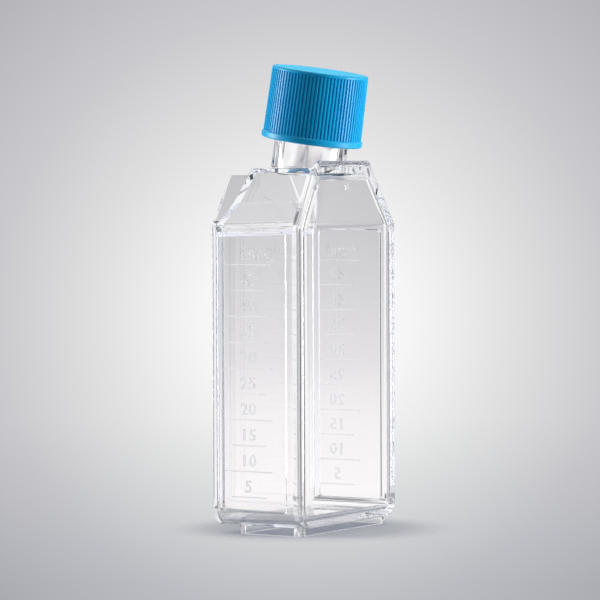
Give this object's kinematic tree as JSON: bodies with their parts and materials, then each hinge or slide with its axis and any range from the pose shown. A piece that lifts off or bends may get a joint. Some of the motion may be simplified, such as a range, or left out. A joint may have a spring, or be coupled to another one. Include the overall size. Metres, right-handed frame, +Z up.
{
  "type": "cell culture flask",
  "caption": "Clear rectangular cell culture flask standing on its end, with a canted neck, graduated recessed sides and a ribbed blue screw cap.",
  "frame": {"origin": "centre of the whole flask's bounding box, in the plane of the foot rim that it stands on; the canted cap puts it 1.75 mm in front of the body's middle", "axes": "+Z up along the standing flask, +X across the two graduated sides, -Y out of the front wall that the neck leans towards, +Y out of the growth plate"},
  "size_m": [0.042, 0.0279, 0.1091],
  "materials": {
    "clear_polystyrene": "clear, polished mould surface",
    "cap_blue": "satin moulded polypropylene",
    "liner_white": "matt foamed polyethylene"
  },
  "bodies": {
    "flask": {"flask_body": "clear_polystyrene", "growth_plate": "clear_polystyrene"},
    "seal": {"cap_seal": "liner_white"},
    "screw_cap": {"cap": "cap_blue"}
  },
  "joints": [
    {"name": "cap_lift", "type": "slide", "parent": "flask", "child": "seal", "axis": [0, -0.1564, 0.9877], "range_m": [0, 0.0075]},
    {"name": "cap_turn", "type": "hinge", "parent": "seal", "child": "screw_cap", "pos_m": [0, -0.00153, 0.09912], "axis": [0, -0.1564, 0.9877], "range_deg": [0, 901]}
  ],
  "couplings": [
    {"joint": "cap_turn", "follows": "cap_lift", "rad_per_m": 2094.4}
  ]
}
